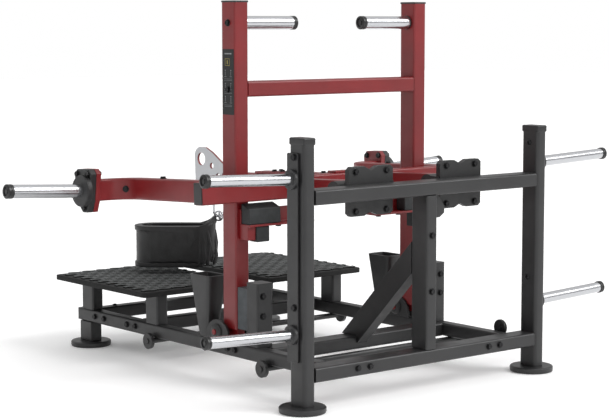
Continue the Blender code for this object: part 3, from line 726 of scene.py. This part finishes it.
def build_placard():
    """A black film placard with plain pictograms on the left release upright."""
    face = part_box("release_upright_left")[0].x
    middle_y = REAR + 0.5255
    low_z, high_z = 0.966, 1.197
    film = block("placard_film", (face - 0.0009, middle_y - 0.0335, low_z),
                 (face + 0.0004, middle_y + 0.0335, high_z), 0.0005, 1)
    smooth(film)
    finished(film, "release_frame", "black_paint", PLACARD)
    marks, tinted_marks = [], []

    def mark(group, y, z, wide, tall):
        group.append(block("mark", (face - 0.0012, middle_y + y - wide / 2, z - tall / 2),
                           (face - 0.0006, middle_y + y + wide / 2, z + tall / 2), 0.0002, 1))

    mark(marks, 0, high_z - 0.016, 0.040, 0.0045)
    for z in (high_z - 0.034, high_z - 0.058):
        mark(tinted_marks, 0.004, z, 0.026, 0.0016)
    for y in (-0.009, 0.017):
        mark(tinted_marks, y, high_z - 0.046, 0.0016, 0.024)
    mark(tinted_marks, 0.004, high_z - 0.046, 0.005, 0.014)
    for row in range(3):
        z = high_z - 0.088 - row * 0.046
        for y in (-0.016, 0.016):
            mark(marks, y, z + 0.013, 0.004, 0.004)
            mark(marks, y, z + 0.002, 0.0018, 0.014)
            mark(marks, y, z - 0.009, 0.012, 0.0016)
        for line in range(2):
            mark(marks, 0, z - 0.017 - line * 0.005, 0.044, 0.0010)
    finished(joined("placard_marks", marks), "release_frame", "black_paint", PRINT)
    finished(joined("placard_panel", tinted_marks), "release_frame", "black_paint", PRINT_YELLOW)


# ---------------------------------------------------------------- lever arm

def build_lever_arm():
    """Red lever arm with its load horns, top plate and fixings."""
    softened("arm_cross_beam", "lever_arm", "red_paint", RED)
    softened("centre_beam", "lever_arm", "red_paint", RED)
    plate = softened("hook_plate", "lever_arm", "bare_steel", STEEL)
    plate.data.materials.append(RED)
    for face in plate.data.polygons:
        if abs(face.normal.x) < 0.9:
            face.material_index = 1
    for side, sign in SIDES:
        softened(f"pivot_arm_{side}", "lever_arm", "red_paint", RED)
        softened(f"side_beam_{side}", "lever_arm", "red_paint", RED)
        softened(f"horn_clamp_{side}", "lever_arm", "cast_black", CAST, 0.003)
        build_load_horn(side, sign)
        end = sign * (0.645 + 0.004)
        cap = block(f"cross_beam_cap_{side}", (sign * 0.6435, REAR + 0.4285, 0.6785),
                    (end, REAR + 0.4755, 0.7555), 0.003)
        tipped(cap)
        smooth(cap)
        finished(cap, "lever_arm", "black_paint", CAP)
    build_top_plate()
    build_arm_bolts()


def build_load_horn(side, sign):
    """A load horn: black flange, chromed sleeve and ringed end cap."""
    node = f"load_horn_{side}"
    low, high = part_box(node)
    inner = low.x if sign > 0 else high.x
    length = high.x - low.x
    start = Vector((inner, LOAD_HORN_Y, ARM_HEIGHT))
    direction = Vector((sign, 0, LOAD_HORN_RISE / length)).normalized()
    pieces = horn_with_cap(node, start, direction, length, 0.025, (0.058, 0.022), (0.0262, 0.024))
    finish_horn(pieces, node, "lever_arm", "cast_black", CAST, tip=True)


def build_top_plate():
    """The red plate bolted along the top of the centre beam."""
    top = ARM_HEIGHT + 0.028
    plate = block("centre_top_plate", (-0.040, REAR + 0.430, top + 0.0122),
                  (0.040, REAR + 0.478, top + 0.0202), 0.002)
    long_plate = block("centre_long_plate", (-0.030, REAR + 0.4785, top - 0.0002),
                       (0.030, REAR + 0.930, top + 0.009), 0.002)
    for piece in (plate, long_plate):
        tipped(piece)
        smooth(piece)
        finished(piece, "lever_arm", "red_paint", RED)
    spots = []
    for y in (0.822, 0.773, 0.529):
        for x in (-0.016, 0.016):
            spots.append(((x, REAR + y, top + 0.009), UPWARD))
    bolt_group("top_plate_bolts", hex_bolt(0.9), spots, "lever_arm", DARK_BOLT, tip=True)


def build_arm_bolts():
    """Bolts on the side beams and the horn plates."""
    spots = []
    for _, sign in SIDES:
        inward, outward = Vector((-sign, 0, 0)), Vector((sign, 0, 0))
        plate_face = sign * 0.690
        for y, z in ((-0.026, 0.062), (0.046, 0.062), (0.004, -0.064)):
            spots.append(((plate_face, LOAD_HORN_Y + y, ARM_HEIGHT + z), inward))
            spots.append(((sign * 0.736, LOAD_HORN_Y + y, ARM_HEIGHT + z), outward))
        spread_x, spread_y = math.cos(BEND_BOLT_ANGLE), math.sin(BEND_BOLT_ANGLE)
        for facing in (-1, 1):
            radius = BEND_RADIUS + facing * BEAM_HALF_NARROW
            place = (sign * (BEND_CENTRE_X - radius * spread_x), BEND_START_Y + radius * spread_y, ARM_HEIGHT)
            spots.append((place, Vector((-sign * spread_x, spread_y, 0)) * facing))
        spots.append(((sign * SIDE_BEAM_X, REAR + 0.800, ARM_HEIGHT + 0.040), UPWARD))
    bolt_group("lever_arm_bolts", hex_bolt(), spots, "lever_arm", DARK_BOLT, tip=True)


# ---------------------------------------------------------------- carabiner and belt

def stretched_ring(name, radius, wire, extra, place, segments=40, sides=12):
    """A wire ring drawn out upwards into an oval, standing in the plane Y = place.y."""
    clear_selection()
    bpy.ops.mesh.primitive_torus_add(major_segments=segments, minor_segments=sides, major_radius=radius,
                                     minor_radius=wire, rotation=(math.pi / 2, 0, 0))
    ring = bpy.context.object
    ring.name = name
    bpy.ops.object.transform_apply(location=True, rotation=True, scale=True)
    select_faces(ring, lambda middle, normal: middle.z > 0)
    bpy.ops.transform.translate(value=(0, 0, extra))
    bpy.ops.object.mode_set(mode="OBJECT")
    ring.location = place
    bpy.ops.object.transform_apply(location=True, rotation=True, scale=True)
    return ring


def build_carabiner():
    """A steel carabiner with a sleeved screw gate."""
    low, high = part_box("carabiner")
    wire = (high.y - low.y) / 2
    radius = (high.x - low.x) / 2 - wire
    middle = (low + high) / 2
    extra = (high.z - low.z) - 2 * radius - 2 * wire
    ring = stretched_ring("carabiner_body", radius, wire, extra,
                          Vector((middle.x, middle.y, low.z + wire + radius)))
    sleeve = turned("gate_sleeve", [(wire + 0.0004, 0.0), (wire + 0.0022, 0.0010), (wire + 0.0022, 0.0080),
                                    (wire + 0.0014, 0.0085), (wire + 0.0014, 0.0095), (wire + 0.0022, 0.0100),
                                    (wire + 0.0022, 0.0290), (wire + 0.0004, 0.0300)], 28)
    aimed(sleeve, Vector((high.x - wire, middle.y, middle.z - 0.020)), UPWARD)
    pin = turned("gate_pin", [(0.0024, -wire - 0.0012), (0.0024, wire + 0.0012)], 14)
    aimed(pin, Vector((high.x - wire, middle.y, middle.z + 0.024)), FORWARD)
    whole = joined("carabiner_steel", [ring, sleeve, pin])
    smooth(whole)
    finished(whole, "carabiner", "chrome", CHROME, replaces=["carabiner"])


def puffed(piece, voxel, pressure, frames, reach):
    """Remesh a soft shape, blow it up like a stuffed pad, and keep each point within reach of its start."""
    modified(piece, "REMESH", mode="VOXEL", voxel_size=voxel)
    start = [v.co.copy() for v in piece.data.vertices]
    pick(piece)
    cloth = piece.modifiers.new("Padding", "CLOTH")
    cloth.settings.use_pressure = True
    cloth.settings.uniform_pressure_force = pressure
    cloth.settings.effector_weights.gravity = 0
    cloth.settings.quality = 5
    scene = bpy.context.scene
    for number in range(1, frames + 1):
        scene.frame_set(number)
    bpy.ops.object.modifier_apply(modifier=cloth.name)
    scene.frame_set(1)
    for vertex, origin in zip(piece.data.vertices, start):
        move = vertex.co - origin
        if move.length > reach:
            vertex.co = origin + move.normalized() * reach
    modified(piece, "SUBSURF", levels=1, render_levels=1)


def belt_point(along, across, height):
    """A point given along and across the belt's loop, and its height."""
    return BELT_MIDDLE + BELT_ALONG * along + BELT_ACROSS * across + UPWARD * height


def belt_path():
    """Points along the middle of the belt's loop, from the near end round to the far end."""
    near_side = [(0.150, -0.020), (0.138, -0.046), (0.110, -0.060),
                 (0.060, -0.064), (0.0, -0.066), (-0.060, -0.065)]
    loop = list(near_side)
    for i in range(1, 20):
        turn = math.radians(-90 - 9 * i)
        loop.append((-0.090 + 0.063 * math.cos(turn), 0.063 * math.sin(turn)))
    loop += [(along, -across) for along, across in reversed(near_side)]
    return [belt_point(along, across, 0) for along, across in loop]


def swept(name, points, wide, talls):
    """A flat upright band swept along points, its height changing from point to point."""
    clear_selection()
    heading = points[1] - points[0]
    bpy.ops.mesh.primitive_plane_add(size=1)
    band = bpy.context.object
    band.name = name
    turn = heading.to_2d().to_3d().to_track_quat("Z", "Y").to_matrix().to_4x4()
    band.matrix_world = Matrix.Translation(points[0]) @ turn @ Matrix.Diagonal((wide, talls[0], 1, 1))
    pick(band)
    bpy.ops.object.transform_apply(location=True, rotation=True, scale=True)
    bpy.ops.object.mode_set(mode="EDIT")
    bpy.ops.mesh.select_all(action="SELECT")
    last = len(points) - 1
    for number in range(1, last + 1):
        step = points[number] - points[number - 1]
        bpy.ops.mesh.extrude_region_move(TRANSFORM_OT_translate={"value": step})
        after = points[min(number + 1, last)] - points[number - 1]
        angle = heading.to_2d().angle_signed(after.to_2d(), 0.0)
        bpy.ops.transform.rotate(value=angle, orient_axis="Z", center_override=points[number])
        if talls[number] != talls[number - 1]:
            bpy.ops.transform.resize(value=(1, 1, talls[number] / talls[number - 1]),
                                     center_override=points[number])
        heading = after
    bpy.ops.mesh.select_all(action="SELECT")
    bpy.ops.mesh.normals_make_consistent(inside=False)
    bpy.ops.object.mode_set(mode="OBJECT")
    return band


def piping(name, points, radius):
    """A round welt along points, made from a curve."""
    curve = bpy.data.curves.new(name, "CURVE")
    curve.dimensions = "3D"
    curve.bevel_depth = radius
    curve.bevel_resolution = 2
    curve.use_fill_caps = True
    spline = curve.splines.new("POLY")
    spline.points.add(len(points) - 1)
    for curve_point, place in zip(spline.points, points):
        curve_point.co = (*place, 1)
    welt = bpy.data.objects.new(name, curve)
    bpy.context.scene.collection.objects.link(welt)
    pick(welt)
    bpy.ops.object.convert(target="MESH")
    return bpy.context.object


def moved_path(path, distance, height):
    """A level path moved sideways by a distance and lifted by a height."""
    moved = []
    last = len(path) - 1
    for i, place in enumerate(path):
        along = (path[min(i + 1, last)] - path[max(i - 1, 0)]).normalized()
        across = Vector((-along.y, along.x, 0))
        moved.append(place + across * distance + UPWARD * height)
    return moved


def build_belt_pad():
    """The padded leather body of the belt, blown up inside its outline."""
    belt = copied(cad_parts["hip_belt"])
    belt.name = "hip_belt_padding"
    belt.parent = None
    for key in list(belt.keys()):
        del belt[key]
    pick(belt)
    bpy.ops.object.mode_set(mode="EDIT")
    bpy.ops.mesh.select_all(action="SELECT")
    bpy.ops.mesh.remove_doubles(threshold=0.00002)
    bpy.ops.object.mode_set(mode="OBJECT")
    puffed(belt, 0.005, 4.0, 20, 0.006)
    smooth(belt, math.radians(60))
    finished(belt, "belt", "leather", LEATHER, replaces=["hip_belt"])


def build_belt_trim():
    """Bound edges, raised seams and end tucks on the belt."""
    low, high = BELT_LOW, BELT_HIGH
    middle = belt_path()[2:-2]
    bindings = []
    for height in (low + 0.009, high - 0.009):
        band = swept("band", moved_path(middle, 0, height), 0.030, [0.020] * len(middle))
        bindings.append(band)
    binding = joined("belt_binding", bindings)
    rounded(binding, 0.004, 3, math.radians(50))
    smooth(binding, math.radians(50))
    finished(binding, "belt", "leather", BINDING)
    seams = []
    for height in (low + 0.024, high - 0.024, high - 0.042):
        for distance in (-0.0152, 0.0152):
            for stretch in (middle[:4], middle[-4:]):
                seams.append(piping("seam", moved_path(stretch, distance, height), 0.0011))
    thread = joined("belt_stitching", seams)
    smooth(thread, math.radians(50))
    finished(thread, "belt", "leather", THREAD)
    tucks = []
    for number, (along, across) in enumerate(((0.098, -0.0745), (0.116, -0.0705), (0.133, -0.0620),
                                              (0.147, -0.0470), (0.157, -0.0300), (0.160, -0.0120),
                                              (0.160, 0.0080), (0.157, 0.0280), (0.147, 0.0450))):
        lean = 0.004 * math.sin(2.4 * number)
        foot = low + 0.006 + 0.010 * (number % 2)
        points = [belt_point(along - 0.004, across, foot), belt_point(along + lean, across, 0.355),
                  belt_point(along - lean, across, 0.410), belt_point(along - 0.006, across, 0.462)]
        tucks.append(piping("tuck", points, 0.0062 + 0.0012 * (number % 3)))
    folds = joined("belt_end_folds", tucks)
    modified(folds, "REMESH", mode="VOXEL", voxel_size=0.003)
    modified(folds, "SMOOTH", factor=0.6, iterations=4)
    smooth(folds, math.radians(60))
    finished(folds, "belt", "leather", LEATHER)


def build_belt_straps():
    """Tapering straps from the belt's two ends up to rings on the carabiner."""
    low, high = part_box("carabiner")
    eye = Vector((0, (low.y + high.y) / 2, low.z + 0.005))
    for label, side in (("near", -1), ("far", 1)):
        points = [belt_point(0.000, side * 0.0790, 0.404), belt_point(0.026, side * 0.0795, 0.409),
                  belt_point(0.046, side * 0.0795, 0.420), belt_point(0.062, side * 0.0795, 0.435),
                  belt_point(0.080, side * 0.0795, 0.450), belt_point(0.108, side * 0.0770, 0.460),
                  belt_point(0.138, side * 0.0590, 0.474),
                  eye + BELT_ACROSS * side * 0.026 - BELT_ALONG * 0.026 - UPWARD * 0.022,
                  eye + BELT_ACROSS * side * 0.007 - BELT_ALONG * 0.012 - UPWARD * 0.010]
        strap = swept(f"belt_strap_{label}", points, 0.0055,
                      [0.144, 0.136, 0.112, 0.082, 0.056, 0.048, 0.046, 0.042, 0.032])
        rounded(strap, 0.0018, 2, math.radians(50))
        modified(strap, "SUBSURF", levels=1, render_levels=1)
        smooth(strap, math.radians(50))
        finished(strap, "belt", "leather", LEATHER)
        ring = stretched_ring(f"belt_ring_{label}", 0.0185, 0.0034, 0.0, Vector((0, 0, 0)), 32, 12)
        ring.matrix_world = (Matrix.Translation(eye + Vector((side * 0.003, 0, 0.001)))
                             @ Matrix.Rotation(math.radians(62 * side), 4, "Z"))
        pick(ring)
        bpy.ops.object.transform_apply(location=True, rotation=True, scale=True)
        smooth(ring)
        finished(ring, "belt", "chrome", CHROME)


# ---------------------------------------------------------------- stage, lights, camera

CAMERA_PLACE = Vector((-4.1411, -5.1521, 1.2862))
CAMERA_YAW = math.radians(-39.2926)
CAMERA_PITCH = math.radians(-6.1087)
CAMERA_ROLL = math.radians(-0.05)
CAMERA_LENS = 102.71


def build_camera():
    """A long lens behind the machine's left corner, a little above its top."""
    data = bpy.data.cameras.new("camera")
    data.lens = CAMERA_LENS
    data.sensor_width = 36.0
    data.clip_end = 100.0
    camera = bpy.data.objects.new("camera", data)
    bpy.context.scene.collection.objects.link(camera)
    turn = (Matrix.Rotation(CAMERA_YAW, 4, "Z") @ Matrix.Rotation(math.pi / 2 + CAMERA_PITCH, 4, "X")
            @ Matrix.Rotation(CAMERA_ROLL, 4, "Z"))
    camera.matrix_world = Matrix.Translation(CAMERA_PLACE) @ turn
    bpy.context.scene.camera = camera


def area_light(name, place, target, size, power, colour="#ffffff"):
    """A square soft box aimed at a point."""
    data = bpy.data.lights.new(name, "AREA")
    data.size = size
    data.energy = power
    data.color = linear(colour)[:3]
    light = bpy.data.objects.new(name, data)
    bpy.context.scene.collection.objects.link(light)
    light.location = place
    light.rotation_euler = (Vector(target) - Vector(place)).to_track_quat("-Z", "Y").to_euler()


def sun_light(name, place, softness, power):
    """A broad far light shining from a place towards the middle of the floor."""
    data = bpy.data.lights.new(name, "SUN")
    data.angle = math.radians(softness)
    data.energy = power
    light = bpy.data.objects.new(name, data)
    bpy.context.scene.collection.objects.link(light)
    light.location = place
    light.rotation_euler = (-Vector(place)).to_track_quat("-Z", "Y").to_euler()


def build_surround():
    """A white surround whose light is dimmer near the horizon, behind a plain white backdrop."""
    world = bpy.data.worlds.new("studio")
    bpy.context.scene.world = world
    world.use_nodes = True
    backdrop = world.node_tree.nodes["Background"]
    backdrop.inputs["Color"].default_value = linear("#ffffff")
    backdrop.inputs["Strength"].default_value = 1.0
    direction = add_node(world, "ShaderNodeTexCoord").outputs["Generated"]
    split = add_node(world, "ShaderNodeSeparateXYZ", links={"Vector": direction})
    height = add_node(world, "ShaderNodeMapRange", {"From Max": 0.8, "To Min": 0.42, "To Max": 0.95},
                      {"Value": split.outputs["Z"]})
    sky = add_node(world, "ShaderNodeBackground", {"Color": linear("#ffffff")},
                   {"Strength": height.outputs["Result"]})
    seen = add_node(world, "ShaderNodeLightPath").outputs["Is Camera Ray"]
    both = add_node(world, "ShaderNodeMixShader", links={0: seen, 1: sky.outputs[0], 2: backdrop.outputs[0]})
    world.node_tree.links.new(both.outputs[0], world.node_tree.nodes["World Output"].inputs["Surface"])


def build_stage():
    """A pale floor and soft studio lights."""
    clear_selection()
    bpy.ops.mesh.primitive_plane_add(size=60, location=(0, 0, -0.0005))
    floor = bpy.context.object
    floor.name = "floor"
    material, shader, place = new_material("matt_white_floor", {
        "Roughness": 0.9, "Emission Color": linear("#ffffff"), "Emission Strength": 0.12})
    paint = tinted(material, place, "#f8f8f8", "#fafafa", 0.8)
    material.node_tree.links.new(paint, shader.inputs["Base Color"])
    floor.data.materials.append(material)
    build_surround()
    sun_light("key", (3.2, -4.6, 4.2), 34, 2.0)
    area_light("fill", (-2.5, -6.0, 3.0), (0, 0, 0.6), 2.0, 40)
    scene = bpy.context.scene
    scene.view_settings.view_transform = "Standard"
    scene.view_settings.look = "None"


build_frame_tubes()
build_stop_posts()
build_feet()
build_storage_horns()
build_rail_caps()
build_rail_knobs()
build_frame_bolts()
build_decks()
build_release_frame()
build_placard()
build_lever_arm()
build_carabiner()
build_belt_pad()
build_belt_trim()
build_belt_straps()
build_camera()
build_stage()
